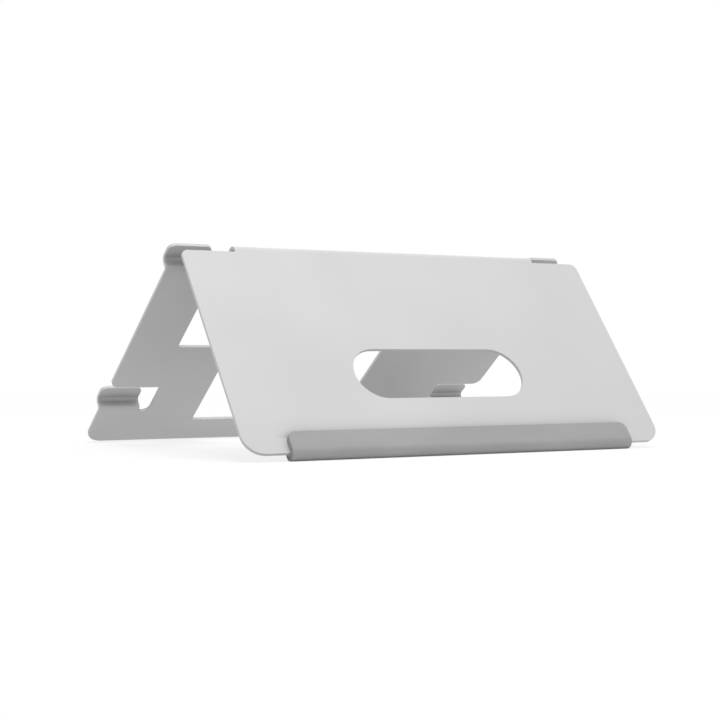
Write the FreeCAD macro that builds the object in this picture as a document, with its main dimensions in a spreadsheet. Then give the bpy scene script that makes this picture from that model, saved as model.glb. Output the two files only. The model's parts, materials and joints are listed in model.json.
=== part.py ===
import FreeCAD, Part
import math
import os
import re
import Sketcher

from FreeCAD import Vector

# Laptop stand: one aluminium sheet folded to a tent, with four hooks bent out of it, a rubber foot trim and
# silicone pads. Every piece is drawn in the frame of the fold: X runs along the fold, the rest panel lies
# flat with its outer face at Z = 0, and the front panel hangs from it with its outer face at Y = 0. One
# Placement then tips every piece alike, until the rest panel's lower edge and the trim stand on the ground.

DIMENSIONS = {
    # the sheet and its fold
    "width": 280.0,            # along the fold
    "sheet": 2.0,              # thickness
    "fold_inner": 2.75,        # inside radius of the fold
    "bend_inner": 2.25,        # inside radius of the hooks' bends
    "front_length": 146.7,     # fold's outer corner to the front panel's lower edge
    "rest_length": 196.4,      # fold's outer corner to the rest panel's lower edge
    "fold_half": 105.8,        # half of the fold's length, between the reliefs at its ends
    "shoulder_drop": 6.4,      # how far the front panel's top corners stay below the fold's outer corner
    "shoulder_round": 4.4,
    "front_foot_round": 12.0,
    "rest_foot_round": 11.0,
    # hooks, placed up the rest panel from its lower edge
    "hook_station": 34.4,      # lower face of a lower hook's wall
    "hook_pitch": 138.0,       # from a lower hook to an upper one
    "hook_inner_side": 112.4,  # a hook reaches from here to the panel's edge
    "hook_reach": 13.6,        # from the wall's lower face to the tip
    "hook_gap": 5.7,           # between the rest panel's outer face and the hook's flange
    "hook_root": 1.0,          # inside radius where the wall leaves the panel
    "hook_run": 1.5,           # panel left in front of the wall
    "hook_tip_round": 4.5,
    "relief_depth": 1.9,       # how far the relief beside a hook goes below the wall
    "relief_round": 4.5,
    "slit_top": 58.9,          # upper edge of the slit that freed a lower hook
    "slit_round": 6.0,
    # stepped opening in the rest panel
    "opening_half": 108.0,
    "opening_step": 100.6,
    "opening_top": 160.0,
    "opening_round": 1.0,
    "stem_left": 71.2,
    "stem_right": 41.4,
    "stem_bottom": 21.9,
    # window in the front panel, placed up from its lower edge
    "window_half": 57.3,
    "window_middle": 51.95,
    "window_round": 17.35,
    # rubber trim on the front panel's lower edge
    "trim_half": 114.3,
    "trim_wall": 3.4,
    "trim_sole": 3.6,          # rubber under the sheet's edge
    "trim_height": 11.8,
    "trim_top_round": 4.8,
    "trim_toe_round": 4.7,     # front lower edge
    "trim_heel_round": 4.0,    # back lower edge, which stands on the ground
    # silicone pads on the rest panel's outer face
    "pad_half": 12.0,
    "pad_round": 5.0,
    "pad_thickness": 1.2,
    "pad_edge": 0.4,
    "pad_side": 124.0,         # middle of a pad, from the middle of the panel
    "pad_low": 72.0,           # middle of a lower pad, up the panel
    "pad_high": 158.0,
}
NEAR = 0.02    # two places closer than this are the same
PAST = "1"     # how far a cut runs past the material

# The tilt at which the rest panel's lower edge and the trim touch the ground together.
RUN = "(rest_length - sheet - trim_wall + trim_heel_round)"
RISE = "(front_length - sheet + trim_sole - trim_heel_round)"
TILT = f"(atan({RISE} / {RUN}) + asin(trim_heel_round / sqrt({RUN}^2 + {RISE}^2)))"
# What brings the middle of the footprint, and the ground, to the origin.
SHIFT_Y = (f"((front_length + trim_sole - trim_toe_round) * sin({TILT}) + trim_toe_round"
           f" + (trim_wall - trim_toe_round - rest_length) * cos({TILT})) / 2")
SHIFT_Z = f"rest_length * sin({TILT}) + sheet * cos({TILT})"

STATIONS = {"lower": "hook_station", "upper": "(hook_station + hook_pitch)"}

doc = FreeCAD.newDocument("laptop_stand")
dims = doc.addObject("Spreadsheet::Sheet", "dims")


def fill_sheet():
    """Put every driving dimension in a cell of its own, and give the cell its alias."""
    for row, (name, number) in enumerate(DIMENSIONS.items(), start=1):
        dims.set(f"A{row}", name)
        dims.set(f"B{row}", str(number))
        dims.setAlias(f"B{row}", name)
    doc.recompute()


def bound(text):
    """The same sum, written on the sheet's cells for setExpression."""
    return re.sub(r"[a-z_]{2,}", lambda word: f"dims.{word[0]}" if word[0] in DIMENSIONS else word[0], text)


def value(text):
    """What a sum of named dimensions comes to, in millimetres."""
    return float(dims.evalExpression(text))


def new_body(name):
    """A body in the frame of the fold, tipped and set on the ground with all the others."""
    body = doc.addObject("PartDesign::Body", name)
    body.Label = name
    body.setExpression("Placement", bound(f"placement(vector(0mm; ({SHIFT_Y}) * 1mm; ({SHIFT_Z}) * 1mm);"
                                          f" rotation(vector(1; 0; 0); -{TILT}))"))
    return body


def origin_plane(body, role):
    return next(item for item in body.Origin.OriginFeatures if item.Role == role)


def new_sketch(body, name, role, offset="0"):
    """A sketch on one of the body's origin planes, moved along the plane's normal by offset."""
    sketch = body.newObject("Sketcher::SketchObject", name)
    sketch.AttachmentSupport = [(origin_plane(body, role), "")]
    sketch.MapMode = "FlatFace"
    sketch.setExpression("AttachmentOffset.Base.z", bound(f"({offset}) * 1mm"))
    return sketch


def pin(sketch, geometry, point, across, up):
    """Hold one point of a sketch at a place given by two sums of dimensions."""
    for kind, text in (("DistanceX", across), ("DistanceY", up)):
        index = sketch.addConstraint(Sketcher.Constraint(kind, -1, 1, geometry, point, value(text)))
        sketch.setExpression(f"Constraints[{index}]", bound(text))


def draw_polygon(sketch, corners):
    """Closed outline of straight lines through the corners, each corner bound to the sheet."""
    points = [Vector(value(across), value(up), 0) for across, up in corners]
    lines = [sketch.addGeometry(Part.LineSegment(start, end))
             for start, end in zip(points, points[1:] + points[:1])]
    for line, following in zip(lines, lines[1:] + lines[:1]):
        sketch.addConstraint(Sketcher.Constraint("Coincident", line, 2, following, 1))
    for line, (across, up) in zip(lines, corners):
        pin(sketch, line, 1, across, up)


def draw_slot(sketch, middle, up, half, radius):
    """Straight slot with round ends, lying across the sketch."""
    reach = f"({half} - {radius})"
    size, level = value(radius), value(up)
    left, right = value(f"{middle} - {reach}"), value(f"{middle} + {reach}")
    ends = []
    for x, start in ((left, math.pi / 2), (right, -math.pi / 2)):
        circle = Part.Circle(Vector(x, level, 0), Vector(0, 0, 1), size)
        ends.append(sketch.addGeometry(Part.ArcOfCircle(circle, start, start + math.pi)))
    sides = [sketch.addGeometry(Part.LineSegment(Vector(start, y, 0), Vector(end, y, 0)))
             for start, end, y in ((left, right, level - size), (right, left, level + size))]
    for first, second in ((ends[0], sides[0]), (sides[0], ends[1]), (ends[1], sides[1]), (sides[1], ends[0])):
        sketch.addConstraint(Sketcher.Constraint("Tangent", first, 2, second, 1))
    pin(sketch, ends[0], 3, f"{middle} - {reach}", up)
    pin(sketch, ends[1], 3, f"{middle} + {reach}", up)
    index = sketch.addConstraint(Sketcher.Constraint("Radius", ends[0], size))
    sketch.setExpression(f"Constraints[{index}]", bound(radius))


def pad(body, sketch, name, length, both_ways=False):
    """Give a sketch thickness along its plane's normal, or half of it each way."""
    feature = body.newObject("PartDesign::Pad", name)
    feature.Profile = sketch
    feature.Midplane = both_ways
    feature.setExpression("Length", bound(length))
    doc.recompute()
    return feature


def pocket(body, sketch, name, depth):
    """Cut a sketch into the body against its plane's normal, and make sure that it met material."""
    before = body.Tip.Shape.Volume
    feature = body.newObject("PartDesign::Pocket", name)
    feature.Profile = sketch
    feature.setExpression("Length", bound(depth))
    doc.recompute()
    if feature.Shape.Volume > before - 1.0:
        raise RuntimeError(f"{name} cuts nothing")
    return feature


def round_edges(body, name, radius, places):
    """Fillet the edges whose middles are at the places, given as distance from X = 0, then Y and Z.

    A place holds sums of dimensions, and None where the edge's middle may be anywhere along that axis.
    """
    base = body.Tip
    spots = [[None if text is None else value(text) for text in place] for place in places]
    chosen = []
    for number, edge in enumerate(base.Shape.Edges, start=1):
        middle = edge.valueAt(0.5 * (edge.FirstParameter + edge.LastParameter))
        found = (abs(middle.x), middle.y, middle.z)
        if any(all(want is None or abs(want - have) < NEAR for want, have in zip(spot, found))
               for spot in spots):
            chosen.append(f"Edge{number}")
    if not chosen:
        raise RuntimeError(f"{name} finds no edge")
    feature = body.newObject("PartDesign::Fillet", name)
    feature.Base = (base, chosen)
    feature.setExpression("Radius", bound(radius))
    doc.recompute()
    return feature


def cut_hook_slot(body, level, station):
    """Free a hook from the sheet: the slot that it leaves, and the relief along its inner side."""
    root = f"rest_length - {station} + hook_run"
    relief = f"rest_length - {station} + relief_depth"
    top = {"lower": "rest_length - slit_top", "upper": f"-{PAST}"}[level]
    sketch = new_sketch(body, f"{level}_slot_outline", "XY_Plane")
    beyond = f"width / 2 + {PAST}"
    draw_polygon(sketch, [("fold_half", relief), ("fold_half", top), (beyond, top), (beyond, root),
                          ("hook_inner_side", root), ("hook_inner_side", relief)])
    return pocket(body, sketch, f"{level}_slot", f"sheet + {PAST}")


def cut_shoulder(body):
    """Clear the end of the fold above the front panel's shoulder."""
    sketch = new_sketch(body, "shoulder_outline", "XZ_Plane")
    draw_polygon(sketch, [("fold_half", "-shoulder_drop"), (f"width / 2 + {PAST}", "-shoulder_drop"),
                          (f"width / 2 + {PAST}", PAST), ("fold_half", PAST)])
    return pocket(body, sketch, "shoulder", f"fold_inner + sheet + {PAST}")


def add_hook(body, level, station):
    """Wall that stands up from the rest panel, and flange that turns back over the slot."""
    wall = f"rest_length - {station}"
    sketch = new_sketch(body, f"{level}_hook_profile", "YZ_Plane", "hook_inner_side")
    draw_polygon(sketch, [(f"{wall} + hook_run", "-sheet"), (f"{wall} - sheet", "-sheet"),
                          (f"{wall} - sheet", "hook_gap"), (f"{wall} - hook_reach", "hook_gap"),
                          (f"{wall} - hook_reach", "hook_gap + sheet"), (wall, "hook_gap + sheet"),
                          (wall, "0"), (f"{wall} + hook_run", "0")])
    return pad(body, sketch, f"{level}_hook", "width / 2 - hook_inner_side")


def mirror_sides(body, name, features):
    """Repeat features on the other side of the stand's middle."""
    mirror = body.newObject("PartDesign::Mirrored", name)
    mirror.Originals = features
    mirror.MirrorPlane = (origin_plane(body, "YZ_Plane"), [""])
    body.Tip = mirror
    doc.recompute()
    return mirror


def build_folded_sheet():
    """The sheet: one fold, four hooks, the window and the stepped opening."""
    body = new_body("folded_sheet")
    profile = new_sketch(body, "fold_profile", "YZ_Plane")
    draw_polygon(profile, [("0", "0"), ("rest_length", "0"), ("rest_length", "-sheet"), ("sheet", "-sheet"),
                           ("sheet", "-front_length"), ("0", "-front_length")])
    pad(body, profile, "angle", "width", both_ways=True)
    round_edges(body, "fold_outside", "fold_inner + sheet", [("0", "0", "0")])
    round_edges(body, "fold_inside", "fold_inner", [("0", "sheet", "-sheet")])

    one_side = [cut_hook_slot(body, level, station) for level, station in STATIONS.items()]
    one_side.append(cut_shoulder(body))
    one_side += [add_hook(body, level, station) for level, station in STATIONS.items()]
    mirror_sides(body, "both_sides", one_side)

    walls = [f"rest_length - {station}" for station in STATIONS.values()]
    round_edges(body, "hook_root_inside", "hook_root", [(None, wall, "0") for wall in walls])
    round_edges(body, "hook_root_outside", "hook_root + sheet",
                [(None, f"{wall} - sheet", "-sheet") for wall in walls])
    round_edges(body, "hook_bend_inside", "bend_inner",
                [(None, f"{wall} - sheet", "hook_gap") for wall in walls])
    round_edges(body, "hook_bend_outside", "bend_inner + sheet",
                [(None, wall, "hook_gap + sheet") for wall in walls])
    tips = [f"{wall} - hook_reach" for wall in walls]
    round_edges(body, "hook_tips", "hook_tip_round",
                [(side, tip, None) for tip in tips for side in ("hook_inner_side", "width / 2")])
    round_edges(body, "reliefs", "relief_round",
                [("fold_half", f"{wall} + relief_depth", None) for wall in walls])

    window = new_sketch(body, "window_outline", "XZ_Plane")
    draw_slot(window, "0", "window_middle - front_length", "window_half", "window_round")
    pocket(body, window, "window", f"sheet + {PAST}")

    opening = new_sketch(body, "opening_outline", "XY_Plane")
    top, step, bottom = (f"rest_length - {level}" for level in ("opening_top", "opening_step", "stem_bottom"))
    corners = [("-opening_half", top), ("opening_half", top), ("opening_half", step), ("stem_right", step),
               ("stem_right", bottom), ("-stem_left", bottom), ("-stem_left", step), ("-opening_half", step)]
    draw_polygon(opening, corners)
    pocket(body, opening, "opening", f"sheet + {PAST}")
    round_edges(body, "opening_corners", "opening_round",
                [(across.strip("-"), up, "-sheet / 2") for across, up in corners])

    round_edges(body, "shoulders", "shoulder_round", [("width / 2", "sheet / 2", "-shoulder_drop")])
    round_edges(body, "front_feet", "front_foot_round", [("width / 2", "sheet / 2", "-front_length")])
    round_edges(body, "rest_feet", "rest_foot_round", [("width / 2", "rest_length", "-sheet / 2")])
    round_edges(body, "slit_corners", "slit_round", [("width / 2", "rest_length - slit_top", "-sheet / 2")])
    return body


def build_foot_trim():
    """Rubber channel pushed over the front panel's lower edge, which stands on the table."""
    body = new_body("foot_trim")
    profile = new_sketch(body, "channel_profile", "YZ_Plane")
    lip = "trim_height - front_length"
    sole = "-front_length - trim_sole"
    draw_polygon(profile, [("-trim_wall", sole), ("sheet + trim_wall", sole), ("sheet + trim_wall", lip),
                           ("sheet", lip), ("sheet", "-front_length"), ("0", "-front_length"), ("0", lip),
                           ("-trim_wall", lip)])
    pad(body, profile, "channel", "2 * trim_half", both_ways=True)
    round_edges(body, "lip_corners", "trim_top_round",
                [("trim_half", "-trim_wall / 2", lip), ("trim_half", "sheet + trim_wall / 2", lip)])
    round_edges(body, "toe", "trim_toe_round", [("0", "-trim_wall", sole)])
    round_edges(body, "heel", "trim_heel_round", [("0", "sheet + trim_wall", sole)])
    return body


def build_pad(name, side, station):
    """Silicone pad stuck to the rest panel's outer face."""
    body = new_body(name)
    outline = new_sketch(body, "pad_outline", "XY_Plane")
    draw_slot(outline, side, f"rest_length - {station}", "pad_half", "pad_round")
    pad(body, outline, "pad_body", "pad_thickness")
    round_edges(body, "pad_rim", "pad_edge", [(None, None, "pad_thickness")])
    return body


def check_document():
    """Stop if any object failed to rebuild."""
    for item in doc.Objects:
        if "Invalid" in item.State or "Error" in item.State:
            raise RuntimeError(f"{item.Name} is {item.State}")


def export(bodies):
    """Write one STEP file for each sub-part, once every shape is sound."""
    for body in bodies:
        if body.Shape.isNull() or not body.Shape.isValid() or len(body.Shape.Solids) != 1:
            raise RuntimeError(f"{body.Label} is not one valid solid")
    os.makedirs("parts", exist_ok=True)
    for body in bodies:
        body.Shape.exportStep(f"parts/{body.Label}.step")
        box = body.Shape.optimalBoundingBox(False)
        print(f"{body.Label}: {body.Shape.Volume:.0f} mm3, X {box.XMin:.2f} to {box.XMax:.2f},"
              f" Y {box.YMin:.2f} to {box.YMax:.2f}, Z {box.ZMin:.2f} to {box.ZMax:.2f}")


fill_sheet()
pieces = [build_folded_sheet(), build_foot_trim()]
for height in ("low", "high"):
    for hand, side in (("left", "-pad_side"), ("right", "pad_side")):
        pieces.append(build_pad(f"rest_pad_{height}_{hand}", side, f"pad_{height}"))
doc.recompute()
check_document()
export(pieces)
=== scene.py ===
"""Looks of a laptop stand that is folded from one aluminium sheet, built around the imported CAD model.

Shapes are drawn in millimetres in the frame of the fold: X runs along it, Y down the rest panel and Z off
the rest panel's outer face, so the front panel hangs in the plane Y = 0. One matrix sets them into the
row's frame, in metres.
"""

import json
import logging
import math
from collections.abc import Iterable
from dataclasses import dataclass
from enum import Enum

import bmesh
import bpy
from mathutils import Matrix, Vector

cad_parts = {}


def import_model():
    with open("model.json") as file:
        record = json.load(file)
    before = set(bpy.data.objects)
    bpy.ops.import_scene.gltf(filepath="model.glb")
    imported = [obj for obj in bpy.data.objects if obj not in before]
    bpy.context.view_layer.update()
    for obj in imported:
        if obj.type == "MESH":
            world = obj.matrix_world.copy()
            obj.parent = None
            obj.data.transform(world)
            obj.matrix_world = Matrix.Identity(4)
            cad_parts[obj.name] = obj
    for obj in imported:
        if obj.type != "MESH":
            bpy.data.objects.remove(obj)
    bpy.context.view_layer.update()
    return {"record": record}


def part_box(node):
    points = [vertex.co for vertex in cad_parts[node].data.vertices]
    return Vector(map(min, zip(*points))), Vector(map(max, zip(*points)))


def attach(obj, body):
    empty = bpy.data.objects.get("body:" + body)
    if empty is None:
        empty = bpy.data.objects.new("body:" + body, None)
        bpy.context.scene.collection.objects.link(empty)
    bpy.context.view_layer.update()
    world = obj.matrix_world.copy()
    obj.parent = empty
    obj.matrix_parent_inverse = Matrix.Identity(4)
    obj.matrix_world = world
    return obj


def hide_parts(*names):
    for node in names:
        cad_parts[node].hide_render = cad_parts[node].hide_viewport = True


log = logging.getLogger("laptop_stand")

MM = 0.001                      # metres in a millimetre
NEAR = 0.01                     # millimetres within which two places are the same
WELD = 0.001                    # millimetres within which a cut or a join makes one corner
FLAT = math.radians(0.5)        # faces that turn less than this are one plane
SHARP = math.radians(35.0)      # edges that turn more than this are cut edges
QUARTER_STEPS = 14              # facets of a quarter turn
EASE_STEPS = 3                  # facets of an eased cut edge
OCCLUSION_SAMPLES = 16          # rays that look for what stands close to a surface
MIX_A, MIX_B, MIX_RESULT = 6, 7, 2      # the colour sockets of a Mix node


class Side(Enum):
    """The two ends of the fold."""

    LEFT = -1
    RIGHT = 1


class Level(Enum):
    """The two heights on the rest panel at which hooks and pads stand."""

    LOW = "low"
    HIGH = "high"


class Rounded(Enum):
    """What a bevel rounds: edges, or the corners of a flat outline."""

    EDGES = "EDGES"
    CORNERS = "VERTICES"


def linear(colour: str) -> tuple[float, float, float, float]:
    """Turn an sRGB hex colour into Blender's linear RGBA.

    Args:
        colour: Six hex digits after a hash, such as "#D6D6D8".

    Returns:
        Red, green, blue and alpha, each from 0 to 1.
    """
    channels = [int(colour[start:start + 2], 16) / 255 for start in (1, 3, 5)]
    red, green, blue = (c / 12.92 if c <= 0.04045 else ((c + 0.055) / 1.055) ** 2.4 for c in channels)
    return red, green, blue, 1.0


def add_node(tree: bpy.types.NodeTree, kind: str, settings: dict[str, object] | None = None,
             inputs: dict[str | int, object] | None = None) -> bpy.types.Node:
    """Add one node, set it up and link what feeds it.

    Args:
        tree: The node tree that gets the node.
        kind: The node's type name.
        settings: Values of the node's own properties.
        inputs: Input sockets by name or number, each with a value or with the output socket that feeds it.

    Returns:
        The new node.
    """
    node = tree.nodes.new(kind)
    for name, setting in (settings or {}).items():
        setattr(node, name, setting)
    for name, source in (inputs or {}).items():
        if isinstance(source, bpy.types.NodeSocket):
            tree.links.new(source, node.inputs[name])
        else:
            node.inputs[name].default_value = source
    return node


def new_material(name: str) -> tuple[bpy.types.Material, bpy.types.NodeTree]:
    """Make an empty node material.

    Args:
        name: The material's name.

    Returns:
        The material and its node tree, with no nodes in it.
    """
    material = bpy.data.materials.new(name)
    material.use_nodes = True
    material.node_tree.nodes.clear()
    return material, material.node_tree


def per_metre(size_mm: float) -> float:
    """Turn the size of one grain or blotch into a texture scale."""
    return 1.0 / (size_mm * MM)


@dataclass(frozen=True)
class BlastedAluminium:
    """Aluminium sheet, fine bead-blasted and clear anodised.

    The blasting breaks the mirror of the metal into a soft satin, and the clear oxide keeps it pale and even.
    Shade is painted into the colour: the hooks' bends, the panel beside the trim's lip and round the pads are
    a shade greyer where they are closed in.
    """

    colour: str = "#CFCFCF"
    roughness: float = 0.81
    gloss_drift: float = 0.02     # either way, over the sheet
    grain_mm: float = 0.45        # blast pits are about 0.05 mm: drawn coarser, so that they show at all
    grain_depth_mm: float = 0.0012
    cloud_mm: float = 60.0        # size of one patch of that drift, from the anodising bath
    cloud_span: tuple[float, float] = (0.3, 0.7)      # part of the noise over which it goes from end to end
    corner: str = "#7A7A7A"       # painted shade: the grey that the deepest corner tends to
    bend_shade_reach_mm: float = 10.0   # how far from a bend the painted shade starts
    lip_shade_reach_mm: float = 12.0    # how far from the trim and the pads the painted shade starts
    shade_ramp_mm: float = 2.0        # height over which the painted shade comes in, once the ground is out of reach

    def painted_shade_mask(self, tree: bpy.types.NodeTree, place: bpy.types.NodeSocket) -> bpy.types.NodeSocket:
        """Tell the open flats from the inner corners, for the shade that is painted into the colour.

        Args:
            tree: The material's node tree.
            place: The piece's own coordinates.

        Returns:
            1 on an open flat, and less in the hooks' bends, beside the trim's lip and round the pads, where
            shade is painted in.
        """
        # painted shade: occlusion by the sheet's own bends
        bends = add_node(tree, "ShaderNodeAmbientOcclusion",
                         {"samples": OCCLUSION_SAMPLES, "only_local": True},
                         {"Distance": self.bend_shade_reach_mm * MM})
        # painted shade: occlusion by the trim, the pads and the ground, kept only above the ground's reach
        lips = add_node(tree, "ShaderNodeAmbientOcclusion", {"samples": OCCLUSION_SAMPLES}, {
            "Distance": self.lip_shade_reach_mm * MM})
        height = add_node(tree, "ShaderNodeSeparateXYZ", inputs={"Vector": place})
        low = add_node(tree, "ShaderNodeMapRange", inputs={
            "Value": height.outputs["Z"], "From Min": self.lip_shade_reach_mm * MM,
            "From Max": (self.lip_shade_reach_mm + self.shade_ramp_mm) * MM, "To Min": 1.0, "To Max": 0.0})
        lip_shade_above = add_node(tree, "ShaderNodeMath", {"operation": "MAXIMUM"}, {
            0: lips.outputs["AO"], 1: low.outputs["Result"]})
        return add_node(tree, "ShaderNodeMath", {"operation": "MINIMUM"}, {
            0: bends.outputs["AO"], 1: lip_shade_above.outputs["Value"]}).outputs["Value"]

    def material(self) -> bpy.types.Material:
        """Build the material.

        Returns:
            Satin silver metal with a fine grain, a slow drift of gloss and painted shade in the inner
            corners.
        """
        material, tree = new_material("aluminium_bead_blasted_clear_anodised")
        place = add_node(tree, "ShaderNodeTexCoord").outputs["Object"]
        cloud = add_node(tree, "ShaderNodeTexNoise", inputs={
            "Vector": place, "Scale": per_metre(self.cloud_mm), "Detail": 2.0, "Roughness": 0.4})
        gloss = add_node(tree, "ShaderNodeMapRange", inputs={
            "Value": cloud.outputs["Fac"], "From Min": self.cloud_span[0], "From Max": self.cloud_span[1],
            "To Min": self.roughness - self.gloss_drift, "To Max": self.roughness + self.gloss_drift})
        grain = add_node(tree, "ShaderNodeTexNoise", inputs={
            "Vector": place, "Scale": per_metre(self.grain_mm), "Detail": 3.0, "Roughness": 0.6})
        bump = add_node(tree, "ShaderNodeBump", inputs={
            "Strength": 0.6, "Distance": self.grain_depth_mm * MM, "Height": grain.outputs["Fac"]})
        # painted shade: the colour goes from the metal's own towards the corner grey as a spot is closed in
        tint = add_node(tree, "ShaderNodeMix", {"data_type": "RGBA"}, {
            "Factor": self.painted_shade_mask(tree, place), MIX_A: linear(self.corner), MIX_B: linear(self.colour)})
        shader = add_node(tree, "ShaderNodeBsdfPrincipled", inputs={
            "Base Color": tint.outputs[MIX_RESULT], "Metallic": 1.0, "Roughness": gloss.outputs["Result"],
            "Normal": bump.outputs["Normal"]})
        add_node(tree, "ShaderNodeOutputMaterial", inputs={"Surface": shader.outputs["BSDF"]})
        return material


@dataclass(frozen=True)
class ExtrudedRubber:
    """Mid grey rubber, extruded: matt, with faint draw lines along its length and patches of bloom."""

    colour: str = "#929292"
    bloom: str = "#989898"        # the pale film that rubber sweats out, a little duller than the rubber
    bloom_mm: float = 14.0        # size of one patch of it, drawn out along the extrusion
    bloom_stretch: float = 0.35
    bloom_span: tuple[float, float] = (0.35, 0.65)    # part of the noise over which it goes from none to full
    roughness: float = 0.76
    bloom_roughness: float = 0.80
    grain_mm: float = 0.5         # moulding texture, drawn coarser than the real 0.1 mm so that it shows
    line_mm: float = 0.6          # spacing of the draw lines
    line_stretch: float = 0.02    # how much the lines are drawn out along the extrusion
    relief_mm: float = 0.004      # how deep the lines and the texture go

    def material(self) -> bpy.types.Material:
        """Build the material.

        Returns:
            Matt grey rubber, a shade paler and duller under the bloom.
        """
        material, tree = new_material("rubber_extruded_matt_grey")
        place = add_node(tree, "ShaderNodeTexCoord").outputs["Object"]
        drawn = add_node(tree, "ShaderNodeMapping", inputs={
            "Vector": place, "Scale": (self.line_stretch, 1.0, 1.0)})
        lines = add_node(tree, "ShaderNodeTexNoise", inputs={
            "Vector": drawn.outputs["Vector"], "Scale": per_metre(self.line_mm), "Detail": 1.0})
        grain = add_node(tree, "ShaderNodeTexNoise", inputs={
            "Vector": place, "Scale": per_metre(self.grain_mm), "Detail": 2.0})
        relief = add_node(tree, "ShaderNodeMath", {"operation": "ADD"}, {
            0: lines.outputs["Fac"], 1: grain.outputs["Fac"]})
        bump = add_node(tree, "ShaderNodeBump", inputs={
            "Strength": 0.5, "Distance": self.relief_mm * MM, "Height": relief.outputs["Value"]})
        spread = add_node(tree, "ShaderNodeMapping", inputs={
            "Vector": place, "Scale": (self.bloom_stretch, 1.0, 1.0)})
        patches = add_node(tree, "ShaderNodeTexNoise", inputs={
            "Vector": spread.outputs["Vector"], "Scale": per_metre(self.bloom_mm), "Detail": 4.0})
        film = add_node(tree, "ShaderNodeMapRange", inputs={
            "Value": patches.outputs["Fac"], "From Min": self.bloom_span[0], "From Max": self.bloom_span[1]})
        gloss = add_node(tree, "ShaderNodeMapRange", inputs={
            "Value": film.outputs["Result"], "To Min": self.roughness, "To Max": self.bloom_roughness})
        tint = add_node(tree, "ShaderNodeMix", {"data_type": "RGBA"}, {
            "Factor": film.outputs["Result"], MIX_A: linear(self.colour), MIX_B: linear(self.bloom)})
        shader = add_node(tree, "ShaderNodeBsdfPrincipled", inputs={
            "Base Color": tint.outputs[MIX_RESULT], "Metallic": 0.0, "Roughness": gloss.outputs["Result"],
            "IOR": 1.5, "Specular IOR Level": 0.3, "Normal": bump.outputs["Normal"]})
        add_node(tree, "ShaderNodeOutputMaterial", inputs={"Surface": shader.outputs["BSDF"]})
        return material


@dataclass(frozen=True)
class PadSilicone:
    """Grey silicone sheet, die-cut and self-adhesive: smooth and waxy, and a little light passes into it."""

    colour: str = "#888888"
    dust: str = "#929292"         # what the tacky surface picks up, in specks and soft patches
    dust_mm: float = 3.0          # size of one patch
    dust_span: tuple[float, float] = (0.4, 0.7)       # part of the noise over which it goes from none to full
    roughness: float = 0.52
    dust_roughness: float = 0.60
    grain_mm: float = 0.8         # the die sheet's texture, drawn coarser than the real 0.1 mm
    relief_mm: float = 0.004      # how deep its texture goes

    def material(self) -> bpy.types.Material:
        """Build the material.

        Returns:
            Waxy grey silicone with a faint film of dust.
        """
        material, tree = new_material("silicone_die_cut_grey")
        place = add_node(tree, "ShaderNodeTexCoord").outputs["Object"]
        grain = add_node(tree, "ShaderNodeTexNoise", inputs={
            "Vector": place, "Scale": per_metre(self.grain_mm), "Detail": 2.0})
        bump = add_node(tree, "ShaderNodeBump", inputs={
            "Strength": 0.4, "Distance": self.relief_mm * MM, "Height": grain.outputs["Fac"]})
        specks = add_node(tree, "ShaderNodeTexNoise", inputs={
            "Vector": place, "Scale": per_metre(self.dust_mm), "Detail": 6.0, "Roughness": 0.65})
        film = add_node(tree, "ShaderNodeMapRange", inputs={
            "Value": specks.outputs["Fac"], "From Min": self.dust_span[0], "From Max": self.dust_span[1]})
        gloss = add_node(tree, "ShaderNodeMapRange", inputs={
            "Value": film.outputs["Result"], "To Min": self.roughness, "To Max": self.dust_roughness})
        tint = add_node(tree, "ShaderNodeMix", {"data_type": "RGBA"}, {
            "Factor": film.outputs["Result"], MIX_A: linear(self.colour), MIX_B: linear(self.dust)})
        shader = add_node(tree, "ShaderNodeBsdfPrincipled", inputs={
            "Base Color": tint.outputs[MIX_RESULT], "Metallic": 0.0, "Roughness": gloss.outputs["Result"],
            "IOR": 1.41, "Normal": bump.outputs["Normal"], "Subsurface Weight": 0.15,
            "Subsurface Radius": (1.0, 1.0, 1.0), "Subsurface Scale": 0.6 * MM})
        add_node(tree, "ShaderNodeOutputMaterial", inputs={"Surface": shader.outputs["BSDF"]})
        return material


def fold_frame(frame: dict, rest_length: float, sheet: float) -> Matrix:
    """Find where the fold stands, from the pads' tops and from the ground.

    Args:
        rest_length: From the fold's outer corner down the rest panel to its foot, in millimetres.
        sheet: The sheet's thickness in millimetres.

    Returns:
        The matrix from the fold's frame, in millimetres, to the row's frame, in metres.
    """
    mounts = {mount["name"]: mount for mount in frame["record"]["mounts"]}
    out = Vector(mounts["pad_top_high_left"]["axis"]).normalized()
    along = Vector((1, 0, 0))
    down = out.cross(along)
    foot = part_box("folded_sheet")[1].y
    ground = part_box("folded_sheet")[0].z
    corner = Vector((0, foot, ground + sheet * MM * out.z)) - down * rest_length * MM
    turn = Matrix((along, down, out)).transposed().to_4x4()
    return Matrix.Translation(corner) @ turn @ Matrix.Scale(MM, 4)


def verts_of(items: Iterable[bmesh.types.BMVert | bmesh.types.BMEdge | bmesh.types.BMFace]
             ) -> list[bmesh.types.BMVert]:
    """Pick the corners out of what a bmesh operator made."""
    return [item for item in items if isinstance(item, bmesh.types.BMVert)]


def bevel(bm: bmesh.types.BMesh, geom: list[bmesh.types.BMVert] | list[bmesh.types.BMEdge], radius: float,
          segments: int = QUARTER_STEPS, rounded: Rounded = Rounded.EDGES) -> None:
    """Round edges or corners by a radius in millimetres, each with the same number of facets."""
    bmesh.ops.bevel(bm, geom=geom, offset=radius, offset_type="OFFSET", affect=rounded.value,
                    segments=segments, profile=0.5, material=-1, clamp_overlap=False)


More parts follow.
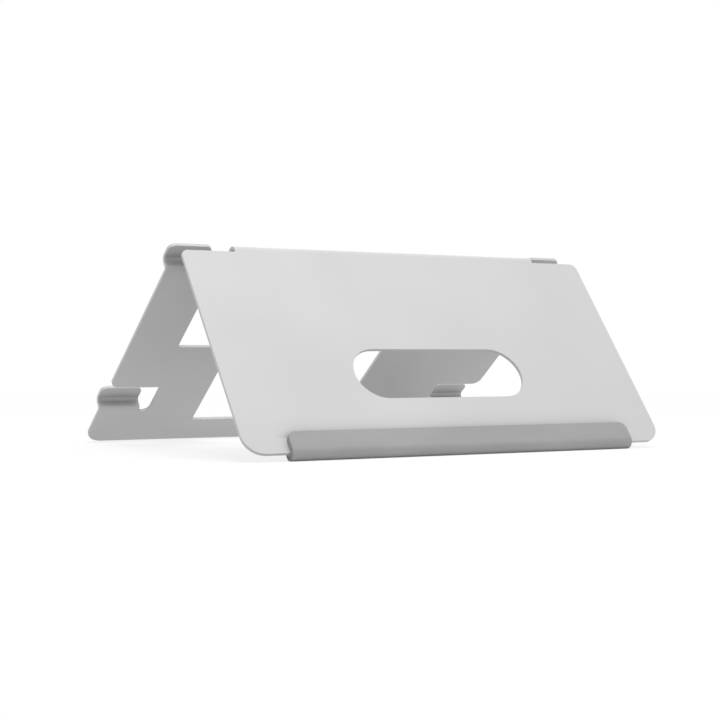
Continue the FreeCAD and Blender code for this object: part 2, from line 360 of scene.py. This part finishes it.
def round_corners(bm: bmesh.types.BMesh, corners: Iterable[tuple[float, float, float]],
                  radius: float) -> None:
    """Round corners of a flat outline.

    Args:
        bm: The skin whose outline is rounded.
        corners: Where the corners are, in millimetres.
        radius: The radius of each round, in millimetres.
    """
    verts = []
    for corner in corners:
        found = [vert for vert in bm.verts if (vert.co - Vector(corner)).length < NEAR]
        if len(found) != 1:
            raise ValueError(f"{len(found)} corners at {corner}")
        verts += found
    bevel(bm, verts, radius, rounded=Rounded.CORNERS)


def ease_edges(bm: bmesh.types.BMesh, radius: float) -> None:
    """Take the sharpness off every cut edge of a closed solid, by a radius in millimetres."""
    bevel(bm, [edge for edge in bm.edges if edge.calc_face_angle(0.0) > SHARP], radius, EASE_STEPS)


def finish_piece(bm: bmesh.types.BMesh, name: str, place: Matrix, material: bpy.types.Material,
                 node: str) -> bpy.types.Object:
    """Turn a bmesh into a finished piece that stands for a CAD node.

    Args:
        bm: The shape, in millimetres in the fold's frame. It is freed here.
        name: The piece's name.
        place: The matrix from the fold's frame to the row's frame.
        material: What it is dressed in.
        node: The CAD node that it replaces.

    Returns:
        The piece, at the origin, with its place in its mesh.
    """
    bmesh.ops.remove_doubles(bm, verts=bm.verts, dist=WELD)
    bmesh.ops.recalc_face_normals(bm, faces=bm.faces)
    bmesh.ops.transform(bm, matrix=place, verts=bm.verts)
    for face in bm.faces:
        face.smooth = True
    mesh = bpy.data.meshes.new(name)
    bm.to_mesh(mesh)
    bm.free()
    mesh.materials.append(material)
    piece = bpy.data.objects.new(name, mesh)
    bpy.context.scene.collection.objects.link(piece)
    weighted = piece.modifiers.new("flat_faces_stay_flat", "WEIGHTED_NORMAL")
    weighted.mode = "FACE_AREA"
    weighted.weight = 100
    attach(piece, "root")
    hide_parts(node)
    log.info("%s: %d faces", name, len(mesh.polygons))
    return piece


@dataclass
class FoldedSheet:
    """The sheet: front panel, fold, rest panel and four hooks. Sizes are in millimetres."""

    place: Matrix
    width: float = 280.0
    sheet: float = 2.0            # thickness
    fold_inner: float = 2.75      # inside radius of the fold
    bend_inner: float = 2.25      # inside radius of the hooks' bends
    front_length: float = 146.7   # from the fold's outer corner down to the front foot
    rest_length: float = 196.4    # from the fold's outer corner down to the rest panel's foot
    fold_half: float = 105.8      # from the middle to the reliefs at the fold's ends
    shoulder_drop: float = 6.4    # from the fold's outer corner down to the front panel's shoulders
    shoulder_round: float = 4.4
    front_foot_round: float = 12.0
    rest_foot_round: float = 11.0
    hook_station: float = 34.4    # from the rest panel's foot up to the low hooks' walls
    hook_pitch: float = 138.0     # from the low hooks up to the high ones
    hook_inner_side: float = 112.4        # from the middle
    hook_reach: float = 13.6      # from the wall's lower face to the flange's tip
    hook_gap: float = 5.7         # room under the flange
    hook_root: float = 1.0        # radius where the wall leaves the panel
    hook_tip_round: float = 4.5
    relief_depth: float = 1.9     # how far a slit runs on past the hook's wall
    relief_round: float = 4.5
    slit_top: float = 58.9        # end of the low slits, up from the foot
    slit_round: float = 6.0
    opening_half: float = 108.0   # of its wide part
    opening_step: float = 100.6   # where it narrows, up from the foot
    opening_top: float = 160.0
    opening_round: float = 1.0
    stem_left: float = 71.2       # sides of its narrow part, from the middle
    stem_right: float = 41.4
    stem_bottom: float = 21.9     # up from the foot
    window_half: float = 57.3
    window_middle: float = 51.95  # up from the front foot
    window_round: float = 17.35
    edge_ease: float = 0.15       # a tumbled cut edge

    @property
    def half(self) -> float:
        """Half of the width."""
        return self.width / 2

    @property
    def fold_outer(self) -> float:
        """Outside radius of the fold."""
        return self.fold_inner + self.sheet

    @property
    def bend_outer(self) -> float:
        """Outside radius of the hooks' bends."""
        return self.bend_inner + self.sheet

    def wall(self, level: Level) -> float:
        """Give Y of the lower face of a hook's wall, down the rest panel."""
        pitch = self.hook_pitch if level is Level.HIGH else 0.0
        return self.rest_length - self.hook_station - pitch

    def is_cut_away(self, spot: Vector) -> bool:
        """Say whether a spot on the unpunched skin lies where the sheet is cut away.

        Args:
            spot: A point on the skin, in the fold's frame.

        Returns:
            True in the openings, the slits, the corners beside the fold, and off the shoulders.
        """
        aside = abs(spot.x)
        if spot.z < -self.fold_outer:      # the front panel
            level = spot.z + self.front_length
            in_window = aside < self.window_half and abs(level - self.window_middle) < self.window_round
            return in_window or (aside > self.fold_half and spot.z > -self.shoulder_drop)
        up = self.rest_length - spot.y
        run_out = self.hook_root if aside > self.hook_inner_side else self.relief_depth
        low, high = (self.rest_length - self.wall(level) - run_out for level in Level)
        in_slit = aside > self.fold_half and (low < up < self.slit_top or up > high)
        in_wide = aside < self.opening_half and self.opening_step < up < self.opening_top
        in_stem = -self.stem_left < spot.x < self.stem_right and self.stem_bottom < up < self.opening_step
        return in_slit or in_wide or in_stem

    def bend_skin(self) -> bmesh.types.BMesh:
        """Fold a plain strip: up the front panel, round the bend and down the rest panel.

        Returns:
            The sheet's outer face, with nothing cut out of it.
        """
        bm = bmesh.new()
        radius = self.fold_outer
        start = bm.verts.new((-self.half, 0, -self.front_length))
        turn = bm.verts.new((-self.half, 0, -radius))
        bm.edges.new((start, turn))
        spun = bmesh.ops.spin(bm, geom=[turn], cent=(0, radius, -radius), axis=(-1, 0, 0),
                              angle=math.pi / 2, steps=QUARTER_STEPS)
        end = verts_of(spun["geom_last"])[0]
        foot = bm.verts.new((-self.half, self.rest_length, 0))
        bm.edges.new((end, foot))
        drawn = bmesh.ops.extrude_edge_only(bm, edges=bm.edges[:])
        bmesh.ops.translate(bm, verts=verts_of(drawn["geom"]), vec=(self.width, 0, 0))
        return bm

    def punch(self, bm: bmesh.types.BMesh) -> None:
        """Cut the window, the stepped opening, the slits and the corners beside the fold.

        Args:
            bm: The plain skin.
        """
        both = (self.fold_half, self.hook_inner_side, self.opening_half, self.window_half)
        across = [sign * x for x in both for sign in (-1, 1)] + [0.0, -self.stem_left, self.stem_right]
        down = [self.rest_length - up for up in
                (self.stem_bottom, self.slit_top, self.opening_step, self.opening_top)]
        down += [self.wall(level) + past for level in Level for past in (self.hook_root, self.relief_depth)]
        window = self.window_middle - self.front_length
        low = [window - self.window_round, window + self.window_round, -self.shoulder_drop]
        cuts = [((x, 0, 0), (1, 0, 0)) for x in across]
        cuts += [((0, y, 0), (0, 1, 0)) for y in down] + [((0, 0, z), (0, 0, 1)) for z in low]
        for point, normal in cuts:
            bmesh.ops.bisect_plane(bm, geom=bm.verts[:] + bm.edges[:] + bm.faces[:], dist=WELD,
                                   plane_co=point, plane_no=normal)
        gone = [face for face in bm.faces if self.is_cut_away(face.calc_center_median())]
        bmesh.ops.delete(bm, geom=gone, context="FACES")

    def merge_flats(self, bm: bmesh.types.BMesh) -> None:
        """Join the pieces of each flat, apart from a seam at X = 0 that lets a flat have a hole in it.

        Args:
            bm: The punched skin.
        """
        flat = [edge for edge in bm.edges if len(edge.link_faces) == 2 and edge.calc_face_angle() < FLAT
                and any(abs(vert.co.x) > NEAR for vert in edge.verts)]
        bmesh.ops.dissolve_edges(bm, edges=flat, use_verts=False)
        straight = []
        for vert in bm.verts:
            if len(vert.link_edges) == 2:
                first, second = (edge.other_vert(vert).co - vert.co for edge in vert.link_edges)
                if first.angle(-second) < FLAT:
                    straight.append(vert)
        bmesh.ops.dissolve_verts(bm, verts=straight)

    def bend_hook(self, bm: bmesh.types.BMesh, level: Level, side: Side) -> None:
        """Turn a hook up out of the rest panel: root, wall, bend and flange.

        Args:
            bm: The punched skin.
            level: Which pair of hooks.
            side: Which end.
        """
        wall = self.wall(level)
        edges = [edge for edge in bm.edges if len(edge.link_faces) == 1
                 and all(abs(vert.co.y - wall - self.hook_root) < NEAR
                         and vert.co.x * side.value > self.hook_inner_side - NEAR for vert in edge.verts)]
        radius = self.bend_outer
        top = self.hook_gap + self.sheet
        # Each step turns the edge a quarter round a centre and an axis, or, with no axis, pushes it along.
        steps = (((0, wall + self.hook_root, self.hook_root), (-1, 0, 0)),
                 ((0, 0, top - radius - self.hook_root), None),
                 ((0, wall - radius, top - radius), (1, 0, 0)),
                 ((0, radius - self.hook_reach, 0), None))
        for where, axis in steps:
            if axis:
                made = bmesh.ops.spin(bm, geom=edges, cent=where, axis=axis, angle=math.pi / 2,
                                      steps=QUARTER_STEPS)["geom_last"]
            else:
                made = bmesh.ops.extrude_edge_only(bm, edges=edges)["geom"]
                bmesh.ops.translate(bm, vec=where, verts=verts_of(made))
            edges = [item for item in made if isinstance(item, bmesh.types.BMEdge)
                     and len({round(vert.co.y, 3) for vert in item.verts}) == 1
                     and len({round(vert.co.z, 3) for vert in item.verts}) == 1]

    def round_outline(self, bm: bmesh.types.BMesh) -> None:
        """Round the corners of the outline and of every opening.

        Args:
            bm: The skin with its hooks.
        """
        half, length = self.half, self.rest_length
        top = self.hook_gap + self.sheet
        low, high = (self.window_middle - self.front_length + sign * self.window_round for sign in (-1, 1))
        rows = {self.front_foot_round: [(half, 0, -self.front_length)],
                self.shoulder_round: [(half, 0, -self.shoulder_drop)],
                self.rest_foot_round: [(half, length, 0)],
                self.slit_round: [(half, length - self.slit_top, 0)],
                self.relief_round: [(self.fold_half, self.wall(level) + self.relief_depth, 0)
                                    for level in Level]}
        tips = [(x, self.wall(level) - self.hook_reach, top) for level in Level
                for x in (self.hook_inner_side, half)]
        for radius, corners in [*rows.items(), (self.hook_tip_round, tips)]:
            round_corners(bm, [(sign * x, y, z) for x, y, z in corners for sign in (-1, 1)], radius)
        round_corners(bm, [(x, 0, z) for x in (-self.window_half, self.window_half) for z in (low, high)],
                      self.window_round - NEAR)
        wide, step, foot = (length - up for up in (self.opening_top, self.opening_step, self.stem_bottom))
        round_corners(bm, [(sign * self.opening_half, y, 0) for y in (wide, step) for sign in (-1, 1)]
                      + [(x, y, 0) for x in (-self.stem_left, self.stem_right) for y in (step, foot)],
                      self.opening_round)

    def build(self, finish: BlastedAluminium) -> bpy.types.Object:
        """Fold, punch, bend, round and thicken the sheet, and dress it.

        Args:
            finish: The metal's surface.

        Returns:
            The finished piece.
        """
        bm = self.bend_skin()
        self.punch(bm)
        self.merge_flats(bm)
        for level in Level:
            for side in Side:
                self.bend_hook(bm, level, side)
        self.round_outline(bm)
        bmesh.ops.remove_doubles(bm, verts=bm.verts, dist=2 * NEAR)
        bmesh.ops.recalc_face_normals(bm, faces=bm.faces)
        if sum(face.normal.z * face.calc_area() for face in bm.faces) < 0:
            bmesh.ops.reverse_faces(bm, faces=bm.faces)
        bmesh.ops.solidify(bm, geom=bm.faces[:], thickness=self.sheet)
        ease_edges(bm, self.edge_ease)
        return finish_piece(bm, "bent_sheet", self.place, finish.material(),
                            "folded_sheet")


@dataclass
class FootTrim:
    """The rubber channel on the front panel's lower edge. Sizes are in millimetres."""

    place: Matrix
    sheet: float = FoldedSheet.sheet
    front_length: float = FoldedSheet.front_length
    half: float = 114.3           # half of its length
    wall: float = 3.4             # thickness on either side of the sheet
    sole: float = 3.6             # rubber under the sheet's edge
    height: float = 11.8          # from the sheet's edge up to the lips
    lip_round: float = 4.8        # at the lips' ends
    toe_round: float = 4.72       # front lower edge, a hair over the solid's, to stay in its box
    heel_round: float = 4.0       # back lower edge, which stands on the ground
    edge_ease: float = 0.3

    def channel(self) -> bmesh.types.BMesh:
        """Extrude the channel's section along the sheet's edge.

        Returns:
            The channel with sharp edges.
        """
        bm = bmesh.new()
        seat = -self.front_length
        sole, lip = seat - self.sole, seat + self.height
        section = [(-self.wall, sole), (self.sheet + self.wall, sole), (self.sheet + self.wall, lip),
                   (self.sheet, lip), (self.sheet, seat), (0, seat), (0, lip), (-self.wall, lip)]
        face = bm.faces.new([bm.verts.new((-self.half, y, z)) for y, z in section])
        drawn = bmesh.ops.extrude_face_region(bm, geom=[face], use_keep_orig=True)
        bmesh.ops.translate(bm, verts=verts_of(drawn["geom"]), vec=(2 * self.half, 0, 0))
        bmesh.ops.recalc_face_normals(bm, faces=bm.faces)
        return bm

    def round_at(self, bm: bmesh.types.BMesh, middles: list[tuple[float, float, float]],
                 radius: float) -> None:
        """Round the edges whose middles are given, on both ends alike.

        Args:
            bm: The channel.
            middles: Distance from the middle of the stand, then Y and Z.
            radius: The radius of the round.
        """
        edges = []
        for edge in bm.edges:
            middle = (edge.verts[0].co + edge.verts[1].co) / 2
            found = Vector((abs(middle.x), middle.y, middle.z))
            if any((found - Vector(wanted)).length < NEAR for wanted in middles):
                edges.append(edge)
        bevel(bm, edges, radius)

    def build(self, finish: ExtrudedRubber) -> bpy.types.Object:
        """Extrude the trim, round its lips, toe and heel, and dress it.

        Args:
            finish: The rubber's surface.

        Returns:
            The finished piece.
        """
        bm = self.channel()
        sole, lip = -self.front_length - self.sole, self.height - self.front_length
        self.round_at(bm, [(self.half, -self.wall / 2, lip), (self.half, self.sheet + self.wall / 2, lip)],
                      self.lip_round)
        self.round_at(bm, [(0, -self.wall, sole)], self.toe_round)
        self.round_at(bm, [(0, self.sheet + self.wall, sole)], self.heel_round)
        ease_edges(bm, self.edge_ease)
        return finish_piece(bm, "edge_trim", self.place, finish.material(), "foot_trim")


@dataclass
class RestPads:
    """The silicone pads on the rest panel's outer face. Sizes are in millimetres."""

    place: Matrix
    rest_length: float = FoldedSheet.rest_length
    half: float = 12.0            # half of a pad's length
    end_round: float = 5.0        # also half of its breadth
    thickness: float = 1.2
    edge_ease: float = 0.4
    edge_steps: int = 4           # facets across the eased rim
    aside: float = 124.0          # from the middle to a pad's centre
    low: float = 72.0             # from the rest panel's foot up to the centres
    high: float = 158.0

    def pad(self, level: Level, side: Side) -> bmesh.types.BMesh:
        """Cut one pad.

        Args:
            level: Which pair.
            side: Which end.

        Returns:
            The pad, with its upper rim eased.
        """
        up = self.high if level is Level.HIGH else self.low
        middle = Vector((self.aside * side.value, self.rest_length - up, 0))
        bm = bmesh.new()
        corners = [(-1, -1), (1, -1), (1, 1), (-1, 1)]
        face = bm.faces.new([bm.verts.new(middle + Vector((x * self.half, y * self.end_round, 0)))
                             for x, y in corners])
        round_corners(bm, [vert.co.copy() for vert in face.verts], self.end_round - NEAR)
        bmesh.ops.remove_doubles(bm, verts=bm.verts, dist=3 * NEAR)
        drawn = bmesh.ops.extrude_face_region(bm, geom=bm.faces[:], use_keep_orig=True)
        bmesh.ops.translate(bm, verts=verts_of(drawn["geom"]), vec=(0, 0, self.thickness))
        bmesh.ops.recalc_face_normals(bm, faces=bm.faces)
        rim = [edge for edge in bm.edges
               if all(abs(vert.co.z - self.thickness) < NEAR for vert in edge.verts)]
        bevel(bm, rim, self.edge_ease, self.edge_steps)
        return bm

    def build(self, finish: PadSilicone) -> list[bpy.types.Object]:
        """Make the four pads.

        Args:
            finish: The silicone's surface.

        Returns:
            The finished pads.
        """
        material = finish.material()
        pads = []
        for level in Level:
            for side in Side:
                tail = f"{level.value}_{side.name.lower()}"
                pads.append(finish_piece(self.pad(level, side), f"pad_{tail}", self.place, material,
                                         f"rest_pad_{tail}"))
        return pads


@dataclass
class Studio:
    """Pale floor, soft lamps and the camera. Sizes are in metres."""

    floor_half: float = 6.0
    paper: str = "#EDEDED"
    shade_near: float = 0.2       # how much of the floor's own light and shadow shows beside the object
    shade_from: float = 0.25      # from here it fades into the backdrop's white
    shade_to: float = 1.6
    key: tuple[float, float, float] = (0.45, -0.45, 0.77)
    room_bright: float = 1.2      # the room on the key side
    room_dark: float = -0.6       # cosine off the key direction from which on the room is dark
    lamp_place: tuple[float, float, float] = (-0.08, -0.2, 1.6)
    lamp_size: float = 0.9
    lamp_watts: float = 13.0
    camera_aim: tuple[float, float, float] = (-0.00218, 0.0, 0.05323)
    camera_distance: float = 0.9567
    azimuth: float = -30.067      # degrees round from straight ahead
    elevation: float = 0.0675
    roll: float = -0.0255
    lens_mm: float = 75.79

    def shows_backdrop(self, tree: bpy.types.NodeTree) -> bpy.types.NodeSocket:
        """Tell which rays see the white backdrop.

        Args:
            tree: The node tree of the floor or the world.

        Returns:
            1 for the camera's rays and for those off metal and through glass, and 0 for the rest.
        """
        seen = add_node(tree, "ShaderNodeLightPath").outputs
        either = add_node(tree, "ShaderNodeMath", {"operation": "MAXIMUM"}, {
            0: seen["Is Camera Ray"], 1: seen["Is Glossy Ray"]})
        return add_node(tree, "ShaderNodeMath", {"operation": "MAXIMUM"}, {
            0: either.outputs["Value"], 1: seen["Is Transmission Ray"]}).outputs["Value"]

    def white_paper(self) -> bpy.types.Material:
        """Paint the floor.

        Returns:
            Matt white paper that keeps the object's shadow beside it and fades into the backdrop further off.
        """
        material, tree = new_material("floor_matt_white_paper")
        place = add_node(tree, "ShaderNodeTexCoord").outputs["Object"]
        reach = add_node(tree, "ShaderNodeVectorMath", {"operation": "LENGTH"}, {0: place})
        fade = add_node(tree, "ShaderNodeMapRange", {"interpolation_type": "SMOOTHSTEP"}, {
            "Value": reach.outputs["Value"], "From Min": self.shade_from, "From Max": self.shade_to,
            "To Min": 1.0 - self.shade_near, "To Max": 1.0})
        share = add_node(tree, "ShaderNodeMath", {"operation": "MULTIPLY"}, {
            0: self.shows_backdrop(tree), 1: fade.outputs["Result"]})
        matt = add_node(tree, "ShaderNodeBsdfDiffuse", inputs={"Color": linear(self.paper)})
        bright = add_node(tree, "ShaderNodeEmission", inputs={"Color": linear("#FFFFFF"), "Strength": 1.0})
        mix = add_node(tree, "ShaderNodeMixShader", inputs={
            "Fac": share.outputs["Value"], 1: matt.outputs["BSDF"], 2: bright.outputs["Emission"]})
        add_node(tree, "ShaderNodeOutputMaterial", inputs={"Surface": mix.outputs["Shader"]})
        return material

    def build_floor(self) -> bpy.types.Object:
        """Lay the floor.

        Returns:
            The floor, marked as stage.
        """
        bm = bmesh.new()
        bmesh.ops.create_grid(bm, x_segments=1, y_segments=1, size=self.floor_half)
        mesh = bpy.data.meshes.new("floor")
        bm.to_mesh(mesh)
        bm.free()
        mesh.materials.append(self.white_paper())
        floor = bpy.data.objects.new("floor", mesh)
        bpy.context.scene.collection.objects.link(floor)
        return floor

    def build_world(self) -> None:
        """Light the room softly from the key side, behind a white backdrop."""
        world = bpy.data.worlds.new("studio")
        bpy.context.scene.world = world
        world.use_nodes = True
        tree = world.node_tree
        tree.nodes.clear()
        direction = add_node(tree, "ShaderNodeTexCoord").outputs["Generated"]
        facing = add_node(tree, "ShaderNodeVectorMath", {"operation": "DOT_PRODUCT"}, {
            0: direction, 1: Vector(self.key).normalized()})
        level = add_node(tree, "ShaderNodeMapRange", inputs={
            "Value": facing.outputs["Value"], "From Min": self.room_dark, "From Max": 1.0,
            "To Min": 0.0, "To Max": self.room_bright})
        room = add_node(tree, "ShaderNodeBackground", inputs={
            "Color": linear("#FFFFFF"), "Strength": level.outputs["Result"]})
        backdrop = add_node(tree, "ShaderNodeBackground", inputs={
            "Color": linear("#FFFFFF"), "Strength": 1.0})
        mix = add_node(tree, "ShaderNodeMixShader", inputs={
            "Fac": self.shows_backdrop(tree), 1: room.outputs["Background"],
            2: backdrop.outputs["Background"]})
        add_node(tree, "ShaderNodeOutputWorld", inputs={"Surface": mix.outputs["Shader"]})

    def add_lamp(self, name: str, where: Vector, size: float, watts: float) -> bpy.types.Object:
        """Hang one soft lamp that points at the object.

        Args:
            name: The lamp's name.
            where: Its place, in metres.
            size: The side of the square that it shines from.
            watts: Its power.

        Returns:
            The lamp.
        """
        data = bpy.data.lights.new(name, "AREA")
        data.size = size
        data.energy = watts
        lamp = bpy.data.objects.new(name, data)
        aim = (-where).to_track_quat("-Z", "Y").to_matrix().to_4x4()
        lamp.matrix_world = Matrix.Translation(where) @ aim
        bpy.context.scene.collection.objects.link(lamp)
        return lamp

    def build_camera(self) -> bpy.types.Object:
        """Set up the camera.

        Returns:
            The scene's camera.
        """
        turn, lift = math.radians(self.azimuth), math.radians(self.elevation)
        back = Vector((math.sin(turn) * math.cos(lift), -math.cos(turn) * math.cos(lift), math.sin(lift)))
        data = bpy.data.cameras.new("camera")
        data.sensor_width = 36.0
        data.lens = self.lens_mm
        data.clip_end = 100.0
        camera = bpy.data.objects.new("camera", data)
        look = (-back).to_track_quat("-Z", "Y").to_matrix().to_4x4()
        roll = Matrix.Rotation(math.radians(self.roll), 4, "Z")
        stand = Matrix.Translation(Vector(self.camera_aim) + back * self.camera_distance)
        camera.matrix_world = stand @ look @ roll
        bpy.context.scene.collection.objects.link(camera)
        bpy.context.scene.camera = camera
        return camera

    def build(self) -> None:
        """Lay the floor, light the room and set up the camera."""
        self.build_floor()
        self.build_world()
        self.add_lamp("overhead", Vector(self.lamp_place), self.lamp_size, self.lamp_watts)
        self.build_camera()
        bpy.context.scene.view_settings.view_transform = "Standard"


def main() -> None:
    """Build the stand's looks around the CAD frame, and the studio around them."""
    logging.basicConfig(level=logging.INFO, format="%(name)s: %(message)s")
    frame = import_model()
    place = fold_frame(frame, FoldedSheet.rest_length, FoldedSheet.sheet)
    FoldedSheet(place).build(BlastedAluminium())
    FootTrim(place).build(ExtrudedRubber())
    RestPads(place).build(PadSilicone())
    Studio().build()


if __name__ == "__main__":
    main()
